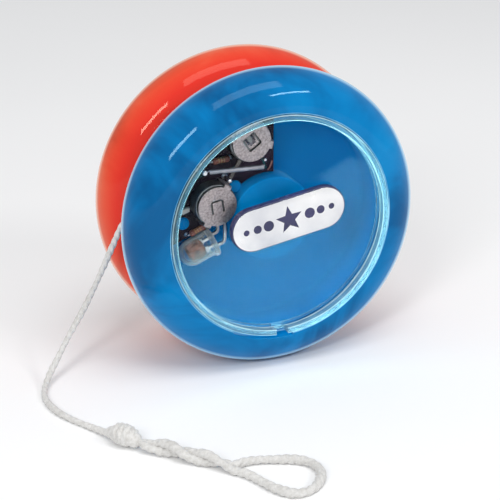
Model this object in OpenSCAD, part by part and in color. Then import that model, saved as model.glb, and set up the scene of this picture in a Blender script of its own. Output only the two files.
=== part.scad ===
// Light-up yo-yo with two clear coloured halves, snap-on window caps and a wound string.
// Origin: middle of the axle. The axle lies along Y, the blue front half faces -Y, +Z is up.
// Every piece of a half is drawn lying down, with its outer face towards +Z and the gap at Z = 0,
// and in_front() or in_rear() stands it up on its side of the gap.

/* [Halves] */
// Diameter of the yo-yo
body_d = 57; // [56.9:0.05:57.4]
// Radius of the rounded edge of each half
edge_r = 6.3; // [6.2:0.05:6.3]
// Width of the gap that the string runs in
gap_w = 3.2; // [3.2:0.05:3.3]
// Height of the friction ribs on the gap walls
rib_h = 0.2; // [0.1:0.05:0.25]
// Number of friction ribs on each gap wall
rib_count = 12; // [6:1:24]

/* [Window cap] */
// Diameter of the raised ring of the cap
cap_d = 42.7; // [42.5:0.1:42.8]
// Width of the raised ring
ring_w = 1.1; // [0.9:0.1:1.2]
// Depth of the window below the top of the ring
window_drop = 1.6; // [1.2:0.1:1.7]
// Width of the slot through the ring
slot_w = 2.4; // [1.5:0.1:4]

/* [Badge] */
// Length of the badge
badge_l = 22.6; // [20:0.1:24]
// Height of the badge
badge_h = 8.4; // [7:0.1:9]
// Turn of the badge about the axle
badge_turn = 10; // [0:1:20]

/* [Circuit] */
// Diameter of a button cell
cell_d = 7.9; // [7.8:0.05:7.9]
// Height of a button cell
cell_h = 3.6; // [3.4:0.1:3.6]
// Diameter of the lamp
lamp_d = 5; // [4.8:0.1:5]
// Outer diameter of the switch spring
spring_d = 0.9; // [0.6:0.1:0.9]

/* [Axle] */
// Diameter of the axle
axle_d = 4; // [3.5:0.1:4.1]
// Running clearance between the axle and its sleeve, on the radius
sleeve_gap = 0.06; // [0.03:0.01:0.1]

/* [String] */
// Diameter of the string
string_d = 1.2; // [1:0.1:1.2]
// Outer diameter of the wound string
winding_d = 27.4; // [24:0.2:28]

/* [Hidden] */
$fn = 64;

// Heights above the middle of the gap
wall_s = gap_w / 2;
rim_s = wall_s + edge_r;
lip_s = wall_s + 2 * edge_r;
floor_s = wall_s + 2.2;
board_s = floor_s + 1.6;
board_t = 1.2;
board_top_s = board_s + board_t;
strip_t = 0.25;
cell_s = board_top_s + strip_t;
clip_t = 0.25;
clip_r = 3.7;
clip_s = cell_s + cell_h;
ledge_s = 11.1;
ring_top_s = lip_s + 0.3;
window_top_s = ring_top_s - window_drop;
window_t = 1.2;
spring_s = clip_s - 0.15;
hub_top_s = 9.5;

// Radii about the axle
body_r = body_d / 2;
rim_r = body_r - edge_r;
cap_r = cap_d / 2;
cap_fit = 0.12;
seat_r = cap_r + cap_fit;
bay_r = 20.9;
hub_r = 8.1;
notch_depth = 0.45;
notch_start = 244;
notch_span = 32;
axle_r = axle_d / 2;
axle_l = 17.6;
sleeve_r = 3.2;
sleeve_l = 4;
sleeve_seat_r = 3.5;
sleeve_seat_depth = 0.55;
string_r = string_d / 2;
winding_r = winding_d / 2;
winding_w = 2.6;

// Places on the board, as seen from outside the half
peg_places = [[-6.4, 6.3], [-16.6, 0.5]];
peg_r = 0.9;
peg_head_r = 1.2;
cell_upper_at = [-4.6, 15.85];
cell_lower_at = [-11.3, 4.4];
clip_upper_turn = -15;
clip_lower_turn = 60;
board_cut_x = 1.3;
lamp_turn = 22.6;
lamp_base = [-10.75, -3.6];
lamp_r = lamp_d / 2;
lamp_l = 7.1;
flange_r = lamp_r + 0.4;
flange_t = 1;
lamp_s = floor_s + flange_r + 0.1;
lead_r = 0.25;
resistor_r = 0.6;
resistor_l = 3.2;
resistor_places = [[-14, -1, lamp_turn], [-9.3, 11.95, 5]];
spring_anchor = [-13.6, 11.05];
spring_tip = [-2.1, 10.7];
rest_pin = [-8.4, 8.55];
contact_pin = [-2, 12.15];
badge_at = [1.2, 1.5];

// Route of the single string, from the winding over the rim and down to the floor
tail_route = [
    [-7.5, 0, 10.7], [-11, 0, 8.6], [-15, 0, 6.7], [-19, 0, 5], [-22.2, 0, 3.2],
    [-24.4, 0, 1.4], [-26.1, 0, -0.8], [-28.2, 0, -5], [-30.8, -0.3, -10], [-34, -0.8, -15.5],
    [-37.4, -1.6, -20.3], [-40, -2.8, -23.8], [-42.2, -4.4, -26.2], [-43.8, -6.6, -27.6],
    [-44.7, -9.5, -27.9], [-44.8, -12.5, -27.9], [-44.2, -16, -27.9], [-42.8, -19.5, -27.9],
    [-41, -22.7, -27.9], [-39.4, -25.5, -27.8], [-38.4, -27.8, -27.5]
];
// Route of the knot and of the doubled stretch, each with its radius
knot_route = [[-38.7, -27.2, -27.6], [-38, -28.4, -27.1], [-37.2, -29.8, -26.6], [-36.2, -31.4, -26.5],
    [-35.1, -32.9, -26.9], [-34.2, -34, -27.1]];
knot_radii = [0.7, 1.3, 1.8, 1.9, 1.6, 1.2];
twist_route = [[-34.2, -34, -27.1], [-33, -35.4, -27.2], [-31.6, -36.8, -27], [-30.1, -38.3, -26.9],
    [-28.6, -40, -27], [-27.2, -41.6, -27.2], [-25.7, -43.2, -27], [-24.3, -44.7, -27.1],
    [-23, -45.9, -27.4]];
twist_radii = [1.2, 1.1, 1.4, 1.5, 1.4, 1.2, 1.4, 1.3, 1];
// Route of the finger loop, from the fork round and back to it
loop_r = 0.75;
loop_route = [[-22.5, -45.7, -27.7], [-20.4, -45.4, -27.7], [-17.9, -45.6, -27.7], [-14.8, -46.6, -27.7],
    [-11.9, -47.8, -27.7], [-9.9, -49.7, -27.7], [-9.4, -52.6, -27.7], [-10.8, -55.6, -27.7],
    [-13.5, -57.8, -27.7], [-16.2, -57.8, -27.7], [-18.4, -55.4, -27.7], [-19.8, -52.2, -27.7],
    [-21.1, -49.2, -27.7], [-22.8, -47.2, -27.7]];
tube_sides = 8;

// ---------- placing ----------

module in_front() {
    rotate([90, 0, 0]) children();
}

module in_rear() {
    rotate([0, 0, 180]) rotate([90, 0, 0]) children();
}

module at_xy(place) {
    translate([place[0], place[1], 0]) children();
}

// A rod of one radius between two points
module rod(from, to, radius) {
    run = to - from;
    lean = acos(run[2] / norm(run));
    heading = atan2(run[1], run[0]);
    translate(from) rotate([0, lean, heading]) cylinder(r = radius, h = norm(run), $fn = 24);
}

// ---------- tube along a route ----------

function unit(v) = v / norm(v);

function heading_at(route, i) =
    unit(route[min(i + 1, len(route) - 1)] - route[max(i - 1, 0)]);

function ring_at(route, radius, i) =
    let (
        ahead = heading_at(route, i),
        side = unit(cross(ahead, [0, 0, 1])),
        over = cross(side, ahead)
    )
    [for (k = [0 : tube_sides - 1])
        let (turn = 360 * (k + 0.5) / tube_sides)
        route[i] + radius * (cos(turn) * side + sin(turn) * over)];

module tube(route, radii) {
    rings = len(route);
    points = [for (i = [0 : rings - 1]) each ring_at(route, radii[i], i)];
    walls = [for (i = [0 : rings - 2], k = [0 : tube_sides - 1])
        let (next = (k + 1) % tube_sides, low = i * tube_sides, high = low + tube_sides)
        [low + k, low + next, high + next, high + k]];
    start_cap = [for (k = [tube_sides - 1 : -1 : 0]) k];
    end_cap = [for (k = [0 : tube_sides - 1]) (rings - 1) * tube_sides + k];
    polyhedron(points = points, faces = concat(walls, [start_cap, end_cap]), convexity = 6);
}

// ---------- shell ----------

module pill(length, height) {
    square([length - height, height], center = true);
    for (side = [-1, 1]) translate([side * (length - height) / 2, 0]) circle(d = height);
}

module shell_outline() {
    translate([0, wall_s]) square([rim_r, 2 * edge_r]);
    translate([rim_r, rim_s]) circle(r = edge_r, $fn = 96);
}

module shell_body() {
    rotate_extrude($fn = 128) {
        difference() {
            intersection() {
                shell_outline();
                square([body_r + 1, lip_s + 1]);
            }
            // bay for the circuit, round the hub
            translate([hub_r, floor_s]) square([bay_r - hub_r, lip_s]);
            // room above the hub
            translate([0, hub_top_s]) square([bay_r, lip_s]);
            // seat for the cap
            translate([0, ledge_s]) square([seat_r, lip_s]);
            // bore for the axle and seat for the sleeve
            square([axle_r, axle_l / 2]);
            square([sleeve_seat_r, wall_s + sleeve_seat_depth]);
        }
    }
}

module pry_notch() {
    rotate([0, 0, notch_start])
        rotate_extrude(angle = notch_span, $fn = 128)
            translate([seat_r - 0.2, lip_s - 1.6]) square([notch_depth + 0.2, 3]);
}

module board_pegs() {
    for (place = peg_places) at_xy(place) {
        translate([0, 0, floor_s - 0.1]) cylinder(r = 1.7, h = board_s - floor_s + 0.1);
        translate([0, 0, board_s - 0.1]) cylinder(r = peg_r, h = board_t + 0.6);
        translate([0, 0, board_top_s + 0.03]) cylinder(r = peg_head_r, h = 0.45);
    }
}

// Two small walls that hold the lamp from both sides
module lamp_cradle() {
    wall_t = 0.8;
    difference() {
        at_xy(lamp_base) rotate([0, 0, lamp_turn])
            for (side = [-1, 1])
                translate([-4.2, side * (lamp_r + 0.35) - wall_t / 2, floor_s - 0.1])
                    cube([2.2, wall_t, 1.5]);
        lamp_shape(0.12);
    }
}

module friction_ribs() {
    for (i = [0 : rib_count - 1])
        rotate([0, 0, 360 * i / rib_count])
            translate([7, -0.4, wall_s - rib_h]) cube([7.5, 0.8, rib_h + 0.1]);
}

module shell() {
    difference() {
        union() {
            shell_body();
            board_pegs();
            lamp_cradle();
            friction_ribs();
        }
        pry_notch();
    }
}

// ---------- window cap and badge ----------

module cap() {
    color([0.85, 0.93, 0.97, 0.35])
        difference() {
            rotate_extrude($fn = 128) {
                translate([cap_r - ring_w, ledge_s]) square([ring_w, ring_top_s - ledge_s]);
                translate([0, window_top_s - window_t]) square([cap_r - ring_w / 2, window_t]);
            }
            translate([-slot_w / 2, -cap_r - 1, ledge_s - 1]) cube([slot_w, ring_w + 1, lip_s]);
        }
}

module badge_place(height) {
    translate([badge_at[0], badge_at[1], height]) rotate([0, 0, badge_turn]) children();
}

module badge_pad() {
    color("midnightblue")
        badge_place(window_top_s) linear_extrude(1.4) pill(badge_l, badge_h);
}

module star(points, outer, inner) {
    polygon([for (i = [0 : 2 * points - 1])
        let (reach = i % 2 == 0 ? outer : inner, turn = 90 + 180 * i / points)
        reach * [cos(turn), sin(turn)]]);
}

module badge_foil() {
    foil_t = 0.12;
    foil_edge = 0.25;
    color("silver")
        badge_place(window_top_s + 1.4)
            linear_extrude(foil_t)
                difference() {
                    pill(badge_l - 2 * foil_edge, badge_h - 2 * foil_edge);
                    star(5, 2.7, 1.15);
                    for (side = [-1, 1], i = [0 : 2])
                        translate([side * (4.1 + 2.2 * i), 0]) circle(r = 1 - 0.22 * i, $fn = 32);
                }
}

// ---------- circuit ----------

// Height of the board's lower edge at a given place across it
function board_edge(x) = -0.8 + tan(lamp_turn) * (x + 12);

module board() {
    color([0.16, 0.1, 0.16])
        translate([0, 0, board_s])
            linear_extrude(board_t)
                difference() {
                    intersection() {
                        difference() {
                            circle(r = bay_r - 0.2, $fn = 128);
                            circle(r = hub_r + 0.2, $fn = 96);
                        }
                        polygon([[board_cut_x, 24], [board_cut_x, 4], [-7, board_edge(-7)],
                            [-24, board_edge(-24)], [-24, 24]]);
                    }
                    for (place = peg_places) translate(place) circle(r = peg_r + 0.05, $fn = 48);
                }
}

module cell(place) {
    rim_h = 0.5;
    color("gainsboro")
        at_xy(place) translate([0, 0, cell_s]) {
            cylinder(d = cell_d, h = cell_h - rim_h);
            cylinder(d = cell_d - 1.4, h = cell_h);
        }
}

// Contact clip over a cell: a disc with a cut tongue, and two legs down to the board
module clip(place, turn) {
    leg_w = 1.4;
    leg_out = cell_d / 2 + 0.15;
    leg_t = 0.25;
    cut_w = 0.3;
    color("lightsteelblue")
        at_xy(place) rotate([0, 0, turn]) {
            translate([0, 0, clip_s])
                linear_extrude(clip_t)
                    difference() {
                        union() {
                            circle(r = clip_r);
                            square([2 * (leg_out + leg_t), leg_w], center = true);
                        }
                        // three cuts leave a square tongue
                        translate([-1.3, -1.3]) square([2.6, cut_w]);
                        translate([-1.3, -1.3]) square([cut_w, 2.6]);
                        translate([1.3 - cut_w, -1.3]) square([cut_w, 2.6]);
                    }
            for (side = [-1, 1])
                translate([side * (leg_out + leg_t / 2), 0, (board_top_s + clip_s + clip_t) / 2])
                    cube([leg_t, leg_w, clip_s + clip_t - board_top_s], center = true);
        }
}

// Flat strip under both cells, with a round pad below each and a narrow bar
// that passes to the right of the clip's leg and of the rest pin
module link_strip() {
    run = cell_upper_at - cell_lower_at;
    bar_w = 0.7;
    bar_shift = 1.6;
    color("goldenrod")
        translate([0, 0, board_top_s])
            linear_extrude(strip_t) {
                translate(cell_upper_at) circle(r = 2.6);
                translate(cell_lower_at) circle(r = 2.6);
                translate(cell_lower_at)
                    rotate(atan2(run[1], run[0]))
                        translate([0, -bar_shift - bar_w / 2])
                            square([norm(run), bar_w]);
            }
}

module switch_spring() {
    from = [spring_anchor[0] + 0.75, spring_anchor[1], spring_s];
    to = [spring_tip[0], spring_tip[1], spring_s];
    color("silver") rod(from, to, spring_d / 2);
}

module switch_pins() {
    color("silver") {
        at_xy(spring_anchor) translate([0, 0, board_top_s])
            cylinder(r = 0.5, h = spring_s - board_top_s + 0.45);
        at_xy(rest_pin) translate([0, 0, board_top_s]) cylinder(r = 0.3, h = spring_s - board_top_s - 1);
        at_xy(rest_pin) translate([0, 0, spring_s - 1]) sphere(r = 0.5, $fn = 24);
        at_xy(contact_pin) translate([0, 0, board_top_s])
            cylinder(r = 0.3, h = spring_s - board_top_s + 0.45);
    }
}

// Body of a resistor lying on the board, with both leads bent down
module resistor() {
    height = board_top_s + resistor_r + 0.05;
    reach = resistor_l / 2 + 0.7;
    rod([-resistor_l / 2, 0, height], [resistor_l / 2, 0, height], resistor_r);
    rod([-reach, 0, height], [reach, 0, height], 0.2);
    for (side = [-1, 1])
        translate([side * (reach - 0.2), 0, board_top_s])
            cylinder(r = 0.2, h = height - board_top_s, $fn = 24);
}

module resistors() {
    color("saddlebrown")
        for (place = resistor_places) at_xy(place) rotate([0, 0, place[2]]) resistor();
}

// The lamp grown by a margin, so that it can also cut its own seat
module lamp_shape(margin) {
    dome_at = lamp_l - lamp_r;
    at_xy(lamp_base) translate([0, 0, lamp_s]) rotate([0, 0, lamp_turn]) rotate([0, -90, 0]) {
        cylinder(r = lamp_r + margin, h = dome_at);
        translate([0, 0, dome_at]) sphere(r = lamp_r + margin);
        translate([0, 0, -margin]) cylinder(r = flange_r + margin, h = flange_t + 2 * margin);
    }
}

module lamp() {
    color([0.9, 0.95, 1, 0.5]) lamp_shape(0);
}

module lamp_leads() {
    pitch = 1.27;
    along = [cos(lamp_turn), sin(lamp_turn), 0];
    across = [-sin(lamp_turn), cos(lamp_turn), 0];
    base = [lamp_base[0], lamp_base[1], board_top_s + lead_r];
    upper_route = [
        base + pitch * across,
        base + pitch * across + 1.2 * along,
        base + pitch * across + 1.6 * along + 0.4 * across,
        [-10.1, 0.2, board_top_s + lead_r]
    ];
    lower_route = [
        base - pitch * across,
        base - pitch * across + 1.6 * along,
        base - pitch * across + 2 * along + 0.4 * across,
        [-8.6, 0.9, board_top_s + lead_r]
    ];
    color("silver")
        for (route = [upper_route, lower_route]) tube(route, [for (p = route) lead_r]);
}

// ---------- axle and string ----------

module axle() {
    chamfer = 0.4;
    color("silver")
        rotate([90, 0, 0]) rotate_extrude()
            polygon([[0, -axle_l / 2], [axle_r - chamfer, -axle_l / 2], [axle_r, chamfer - axle_l / 2],
                [axle_r, axle_l / 2 - chamfer], [axle_r - chamfer, axle_l / 2], [0, axle_l / 2]]);
}

module axle_sleeve() {
    color("ivory")
        rotate([90, 0, 0])
            difference() {
                cylinder(r = sleeve_r, h = sleeve_l, center = true);
                cylinder(r = axle_r + sleeve_gap, h = sleeve_l + 1, center = true);
            }
}

module string_winding() {
    color("whitesmoke")
        rotate([90, 0, 0])
            difference() {
                cylinder(r = winding_r, h = winding_w, center = true, $fn = 96);
                cylinder(r = sleeve_r, h = winding_w + 1, center = true);
            }
}

module string_tail() {
    color("whitesmoke") tube(tail_route, [for (p = tail_route) string_r]);
}

module string_knot() {
    color("whitesmoke") tube(knot_route, knot_radii);
}

module string_twist() {
    color("whitesmoke") tube(twist_route, twist_radii);
}

module finger_loop() {
    color("whitesmoke") tube(loop_route, [for (p = loop_route) loop_r]);
}

// ---------- nodes ----------

color([0, 0.42, 0.75]) in_front() shell();  // front_shell
color([0.95, 0.25, 0.08]) in_rear() shell();  // rear_shell
in_front() cap();  // front_cap
in_rear() cap();  // rear_cap
in_front() badge_pad();  // front_badge_pad
in_rear() badge_pad();  // rear_badge_pad
in_front() badge_foil();  // front_badge_foil
in_rear() badge_foil();  // rear_badge_foil
in_front() board();  // front_board
in_rear() board();  // rear_board
in_front() cell(cell_upper_at);  // front_cell_upper
in_rear() cell(cell_upper_at);  // rear_cell_upper
in_front() cell(cell_lower_at);  // front_cell_lower
in_rear() cell(cell_lower_at);  // rear_cell_lower
in_front() clip(cell_upper_at, clip_upper_turn);  // front_clip_upper
in_rear() clip(cell_upper_at, clip_upper_turn);  // rear_clip_upper
in_front() clip(cell_lower_at, clip_lower_turn);  // front_clip_lower
in_rear() clip(cell_lower_at, clip_lower_turn);  // rear_clip_lower
in_front() link_strip();  // front_link_strip
in_rear() link_strip();  // rear_link_strip
in_front() switch_spring();  // front_switch_spring
in_rear() switch_spring();  // rear_switch_spring
in_front() switch_pins();  // front_switch_pins
in_rear() switch_pins();  // rear_switch_pins
in_front() resistors();  // front_resistors
in_rear() resistors();  // rear_resistors
in_front() lamp();  // front_lamp
in_rear() lamp();  // rear_lamp
in_front() lamp_leads();  // front_lamp_leads
in_rear() lamp_leads();  // rear_lamp_leads
axle();
axle_sleeve();
string_winding();
string_tail();
string_knot();
string_twist();
finger_loop();
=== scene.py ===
"""Looks for the light-up yo-yo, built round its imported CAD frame.

Pieces of a half are modelled lying down, in millimetres: x to the right, y up the face, and s outwards
from the middle of the string gap. place() stands them up on their side and brings them to metres.
"""

import math
from itertools import accumulate

import bmesh
import bpy
from mathutils import Matrix, Quaternion, Vector, noise


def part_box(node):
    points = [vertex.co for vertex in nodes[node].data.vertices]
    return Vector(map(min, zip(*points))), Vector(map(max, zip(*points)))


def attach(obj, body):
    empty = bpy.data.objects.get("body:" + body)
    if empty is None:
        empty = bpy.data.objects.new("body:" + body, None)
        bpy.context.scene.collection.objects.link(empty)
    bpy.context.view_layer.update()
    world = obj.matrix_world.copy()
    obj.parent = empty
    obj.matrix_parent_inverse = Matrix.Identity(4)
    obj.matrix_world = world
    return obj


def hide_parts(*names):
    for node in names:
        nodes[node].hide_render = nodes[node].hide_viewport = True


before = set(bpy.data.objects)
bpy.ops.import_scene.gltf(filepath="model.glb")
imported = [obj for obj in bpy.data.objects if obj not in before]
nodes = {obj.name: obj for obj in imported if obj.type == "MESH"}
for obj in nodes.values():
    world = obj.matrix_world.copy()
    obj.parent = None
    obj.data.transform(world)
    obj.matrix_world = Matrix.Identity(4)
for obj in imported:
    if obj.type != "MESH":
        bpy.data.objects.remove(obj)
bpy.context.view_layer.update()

scene = bpy.context.scene
MM = 0.001
SIDES = ("front", "rear")


def add_object(name, data):
    """A new object in the scene. It shares its name with its data."""
    data.name = name
    obj = bpy.data.objects.new(name, data)
    scene.collection.objects.link(obj)
    return obj


# ---- sizes, in millimetres


def reach(node, axis):
    """How far a CAD node reaches along an axis, as (low, high) in millimetres."""
    low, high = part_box(node)
    return low[axis] / MM, high[axis] / MM


BODY_R = reach("front_shell", 0)[1]
EDGE_R = 6.3
LIP_S = -reach("front_shell", 1)[0]
WALL_S = LIP_S - 2 * EDGE_R
RIM_R = BODY_R - EDGE_R
RIM_S = WALL_S + EDGE_R
WALL_T = 2.2
FLOOR_S = WALL_S + WALL_T
CAP_R = reach("front_cap", 0)[1]
LEDGE_S = -reach("front_cap", 1)[1]
RING_TOP_S = -reach("front_cap", 1)[0]
RING_W = 1.1
WINDOW_TOP_S = -reach("front_badge_pad", 1)[1]
WINDOW_T = 1.2
WINDOW_LOW_S = WINDOW_TOP_S - WINDOW_T
PAD_TOP_S = -reach("front_badge_pad", 1)[0]
FOIL_TOP_S = -reach("front_badge_foil", 1)[0]
SEAT_GAP = 0.12
SEAT_R = CAP_R + SEAT_GAP
NOTCH_FROM, NOTCH_TO, NOTCH_DEPTH = 244, 276, 0.45
BAY_R = 20.9
HUB_R = 8.1
HUB_TOP_S = 9.5
BORE_END_S = 8.8
SLEEVE_SEAT_R = 3.5
SLEEVE_SEAT_S = WALL_S + 0.55
SLOT_W = 2.4
HALF_SLOT = math.degrees(math.asin(SLOT_W / 2 / CAP_R))
NUDGE = 0.01
SHELL_STEPS = 256
CAP_STEPS = 240
BOARD_S = -reach("front_board", 1)[1]
BOARD_TOP_S = -reach("front_board", 1)[0]
CELL_S = -reach("front_cell_upper", 1)[1]
CELL_TOP_S = -reach("front_cell_upper", 1)[0]
CLIP_TOP_S = -reach("front_clip_upper", 1)[0]
CLIP_T = CLIP_TOP_S - CELL_TOP_S
SPRING_S = CELL_TOP_S - 0.15
AXLE_R = 2
FLOOR_Z = reach("front_shell", 2)[0]

# Places on the face of a half
CELL_UPPER_AT = (-4.6, 15.85)
CELL_LOWER_AT = (-11.3, 4.4)
CELL_R = 3.95
CLIP_R = 3.7
LEG_W = 1.4
PEG_HOLE_R = 0.95
PEG_PLACES = ((-6.4, 6.3), (-16.6, 0.5))
BOARD_CUT_X = 1.3
LAMP_TURN = math.radians(22.6)
LAMP_BASE = (-10.75, -3.6)
LAMP_R = 2.5
LAMP_L = 7.1
FLANGE_R = 2.9
LAMP_S = FLOOR_S + FLANGE_R + 0.1
RESISTOR_PLACES = ((-14, -1, LAMP_TURN), (-9.3, 11.95, math.radians(5)))
RESISTOR_R = 0.6
RESISTOR_L = 3.2
SPRING_ANCHOR = (-13.6, 11.05)
SPRING_TIP = (-2.1, 10.7)
REST_PIN = (-8.4, 8.55)
CONTACT_PIN = (-2, 12.15)
CHIP_AT = (-16.2, 3)
BADGE_AT = (1.2, 1.5)
BADGE_TURN = math.radians(10)
BADGE_L = 22.6
BADGE_H = 8.4

# ---- string route, in millimetres

STRING_R = 0.6
WINDING_START_R = 3.9
WINDING_LAYERS = 9
LAYER_STEP = 1.15
TURN_SHIFT = 0.65
TURN_POINTS = 120
LEAVE_ANGLE = math.radians(125)
LAY_LENGTH = 4.4
ROUTE_STEP = 0.25

TAIL_ROUTE = (
    (-7.5, 0, 10.7), (-11, 0, 8.6), (-15, 0, 6.7), (-19, 0, 5), (-22.2, 0, 3.2),
    (-24.4, 0, 1.4), (-26.1, 0, -0.8), (-28.2, 0, -5), (-30.8, -0.3, -10), (-34, -0.8, -15.5),
    (-37.4, -1.6, -20.3), (-40, -2.8, -23.8), (-42.2, -4.4, -26.2), (-43.8, -6.6, -27.6),
    (-44.7, -9.5, -27.9), (-44.8, -12.5, -27.9), (-44.2, -16, -27.9), (-42.8, -19.5, -27.9),
    (-41, -22.7, -27.9), (-39.4, -25.5, -27.8), (-38.4, -27.8, -27.5),
)
KNOT_ROUTE = (
    (-38.7, -27.2, -27.6), (-38, -28.4, -27.1), (-37.2, -29.8, -26.6), (-36.2, -31.4, -26.5),
    (-35.1, -32.9, -26.9), (-34.2, -34, -27.1),
)
KNOT_RADII = (0.7, 1.3, 1.8, 1.9, 1.6, 1.2)
TWIST_ROUTE = (
    (-34.2, -34, -27.1), (-33, -35.4, -27.2), (-31.6, -36.8, -27), (-30.1, -38.3, -26.9),
    (-28.6, -40, -27), (-27.2, -41.6, -27.2), (-25.7, -43.2, -27), (-24.3, -44.7, -27.1),
    (-23, -45.9, -27.4),
)
TWIST_RADII = (1.2, 1.1, 1.4, 1.5, 1.4, 1.2, 1.4, 1.3, 1)
TWIST_START = math.radians(-24)
TWIST_TURN = math.radians(384)
LOOP_R = 0.75
LOOP_ROUTE = (
    (-22.5, -45.7, -27.7), (-20.4, -45.4, -27.7), (-17.9, -45.6, -27.7), (-14.8, -46.6, -27.7),
    (-11.9, -47.8, -27.7), (-9.9, -49.7, -27.7), (-9.4, -52.6, -27.7), (-10.8, -55.6, -27.7),
    (-13.5, -57.8, -27.7), (-16.2, -57.8, -27.7), (-18.4, -55.4, -27.7), (-19.8, -52.2, -27.7),
    (-21.1, -49.2, -27.7), (-22.8, -47.2, -27.7),
)

# ---- camera

VIEW_TURN = math.radians(-21.97)
VIEW_RISE = math.radians(22.41)
VIEW_DISTANCE = 0.3
AIM_RIGHT = -0.00066
AIM_UP = -0.00908
LENS = 113.95


def make_camera():
    data = bpy.data.cameras.new("camera")
    data.lens = LENS
    data.sensor_width = 36
    camera = add_object("camera", data)
    camera.rotation_euler = (math.pi / 2 - VIEW_RISE, 0, VIEW_TURN)
    turned = camera.rotation_euler.to_matrix()
    camera.location = turned @ Vector((AIM_RIGHT, AIM_UP, VIEW_DISTANCE))
    scene.camera = camera


# ---- curves and blends


def spline(points, step):
    """Points about step apart on a smooth curve through the given ones (centripetal Catmull-Rom)."""
    points = [Vector(p) for p in points]
    padded = [2 * points[0] - points[1], *points, 2 * points[-1] - points[-2]]
    out = []
    for i in range(1, len(padded) - 2):
        a, b, c, d = padded[i - 1 : i + 3]
        k1 = math.sqrt((b - a).length)
        k2 = k1 + math.sqrt((c - b).length)
        k3 = k2 + math.sqrt((d - c).length)
        count = max(1, round((c - b).length / step))
        for j in range(count):
            k = k1 + (k2 - k1) * j / count
            ab = a.lerp(b, k / k1)
            bc = b.lerp(c, (k - k1) / (k2 - k1))
            cd = c.lerp(d, (k - k2) / (k3 - k2))
            abc = ab.lerp(bc, k / k2)
            bcd = bc.lerp(cd, (k - k1) / (k3 - k1))
            out.append(abc.lerp(bcd, (k - k1) / (k2 - k1)))
    out.append(points[-1])
    return out


def mix(a, b, share):
    return a + (b - a) * share


def smooth(share):
    share = min(max(share, 0), 1)
    return share * share * (3 - 2 * share)


def along(values, share):
    """The value at a share of the way through a list of evenly spaced ones."""
    place = min(max(share, 0), 1) * (len(values) - 1)
    low = min(int(place), len(values) - 2)
    return mix(values[low], values[low + 1], smooth(place - low))


def polar(centre, far, turn):
    """The point at a distance and in a direction from another."""
    return centre[0] + far * math.cos(turn), centre[1] + far * math.sin(turn)


def arc(centre, radius, start, end, count):
    """Points on an arc, with angles in degrees."""
    return [polar(centre, radius, math.radians(mix(start, end, i / count))) for i in range(count + 1)]


def circle(radius, sides, centre=(0, 0)):
    return [polar(centre, radius, math.tau * k / sides) for k in range(sides)]


def beside(ahead, far, angle):
    """A step square to a heading. It is level at angle 0."""
    level = Vector((-ahead.y, ahead.x, 0)).normalized()
    over = ahead.cross(level)
    return far * (level * math.cos(angle) + over * math.sin(angle))


# ---- meshes


def new_mesh(verts, faces):
    mesh = bpy.data.meshes.new("piece")
    mesh.from_pydata([tuple(v) for v in verts], [], faces)
    mesh.validate()
    mesh.update()
    return mesh


def shade(mesh, angle=40):
    """Smooth shading with sharp edges kept where faces meet at more than the angle, in degrees."""
    mesh.polygons.foreach_set("use_smooth", [True] * len(mesh.polygons))
    mesh.set_sharp_from_angle(angle=math.radians(angle))


def revolve(profile, segments, angles=None):
    """A solid turned about the s axis. profile is a closed outline of (r, s), or a function that gives it
    for an angle in degrees. Points at r = 0 meet in one vertex."""
    angles = angles or [360 * i / segments for i in range(segments)]
    rows = [profile(a) if callable(profile) else profile for a in angles]
    count = len(rows[0])
    on_axis = [abs(rows[0][k][0]) < 1e-9 for k in range(count)]
    verts, index = [], []
    for i, (angle, row) in enumerate(zip(angles, rows)):
        turn = math.radians(angle)
        ring = []
        for k, (r, s) in enumerate(row):
            if on_axis[k] and i:
                ring.append(index[0][k])
                continue
            ring.append(len(verts))
            verts.append((r * math.cos(turn), r * math.sin(turn), s))
        index.append(ring)
    faces = []
    for i in range(len(angles)):
        here, ahead = index[i], index[(i + 1) % len(angles)]
        for k in range(count):
            n = (k + 1) % count
            corners = [here[k], ahead[k], ahead[n], here[n]]
            face = list(dict.fromkeys(corners))
            if len(face) > 2:
                faces.append(face)
    mesh = new_mesh(verts, faces)
    tidy(mesh)
    return mesh


def tidy(mesh):
    """Merges coinciding vertices and turns all faces outwards."""
    work = bmesh.new()
    work.from_mesh(mesh)
    bmesh.ops.remove_doubles(work, verts=work.verts, dist=1e-5)
    bmesh.ops.dissolve_degenerate(work, edges=work.edges, dist=1e-6)
    bmesh.ops.recalc_face_normals(work, faces=work.faces)
    work.to_mesh(mesh)
    work.free()


def tube(points, section, turn_at=None):
    """A closed tube along points. section(i) gives the outline round point i as (across, up) pairs,
    turned by turn_at(i). The frame is carried along without twist."""
    points = [Vector(p) for p in points]
    last = len(points) - 1
    heading = (points[1] - points[0]).normalized()
    side = heading.cross(Vector((0, 0, 1)))
    side = side.normalized() if side.length > 0.1 else heading.orthogonal().normalized()
    verts, faces = [], []
    for i, point in enumerate(points):
        ahead = (points[min(i + 1, last)] - points[max(i - 1, 0)]).normalized()
        side.rotate(heading.rotation_difference(ahead))
        side = (side - ahead * side.dot(ahead)).normalized()
        heading = ahead
        over = side.cross(ahead)
        turn = turn_at(i) if turn_at else 0
        c, s = math.cos(turn), math.sin(turn)
        ring = section(i)
        sides = len(ring)
        for a, b in ring:
            verts.append(point + side * (a * c - b * s) + over * (a * s + b * c))
        if i:
            low, high = (i - 1) * sides, i * sides
            for k in range(sides):
                n = (k + 1) % sides
                faces.append((low + k, high + k, high + n, low + n))
    faces.append(tuple(range(sides)))
    faces.append(tuple(last * sides + k for k in reversed(range(sides))))
    mesh = new_mesh(verts, faces)
    tidy(mesh)
    return mesh


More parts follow.
